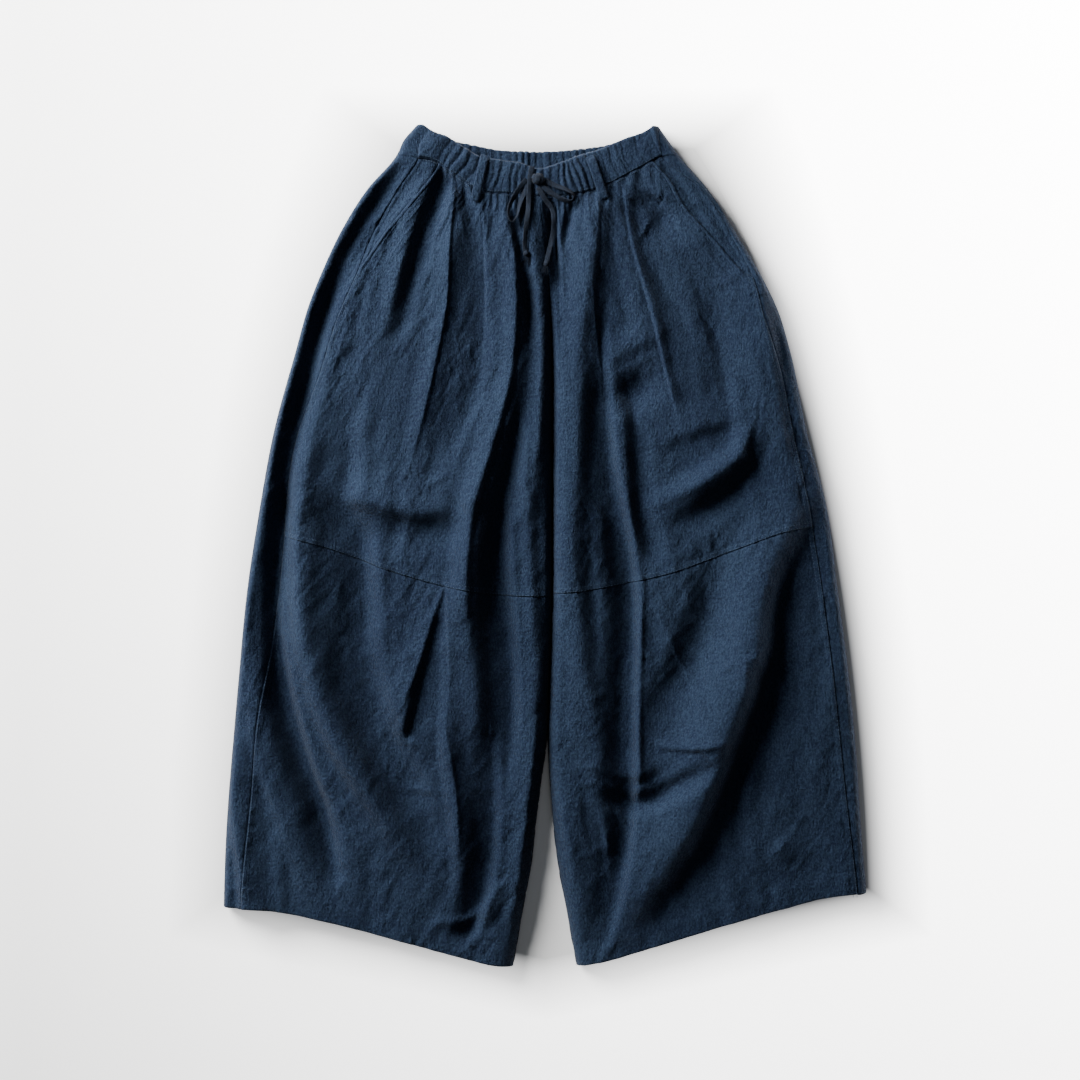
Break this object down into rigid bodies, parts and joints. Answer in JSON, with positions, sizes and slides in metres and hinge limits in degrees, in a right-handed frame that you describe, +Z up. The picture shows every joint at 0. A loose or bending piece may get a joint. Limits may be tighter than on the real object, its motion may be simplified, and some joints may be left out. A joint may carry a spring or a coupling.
{
  "type": "hakama trousers",
  "caption": "Very wide, full-length trousers with a gathered drawstring waist, slanted pockets, waist pleats and pleated knee seams, laid flat.",
  "frame": {"origin": "middle of the flat underside, on the floor that the trousers lie on", "axes": "+Y towards the waist, +X to the right as seen from above with the waist up, +Z up from the floor"},
  "size_m": [0.738, 0.9669, 0.0448],
  "materials": {
    "linen": "washed, matt, slightly crinkled weave",
    "drawstring": "matt woven tape"
  },
  "bodies": {
    "root": {"waistband_front": "linen", "waistband_back": "linen", "front_upper_left": "linen", "front_upper_right": "linen", "front_lower_left": "linen", "front_lower_right": "linen", "back_left": "linen", "back_right": "linen", "pocket_underlay_left": "linen", "pocket_underlay_right": "linen", "belt_loop_left": "linen", "belt_loop_right": "linen", "drawstring_knot": "drawstring", "drawstring_loop_left": "drawstring", "drawstring_loop_right": "drawstring", "drawstring_tail_left": "drawstring", "drawstring_tail_right": "drawstring"}
  },
  "joints": []
}
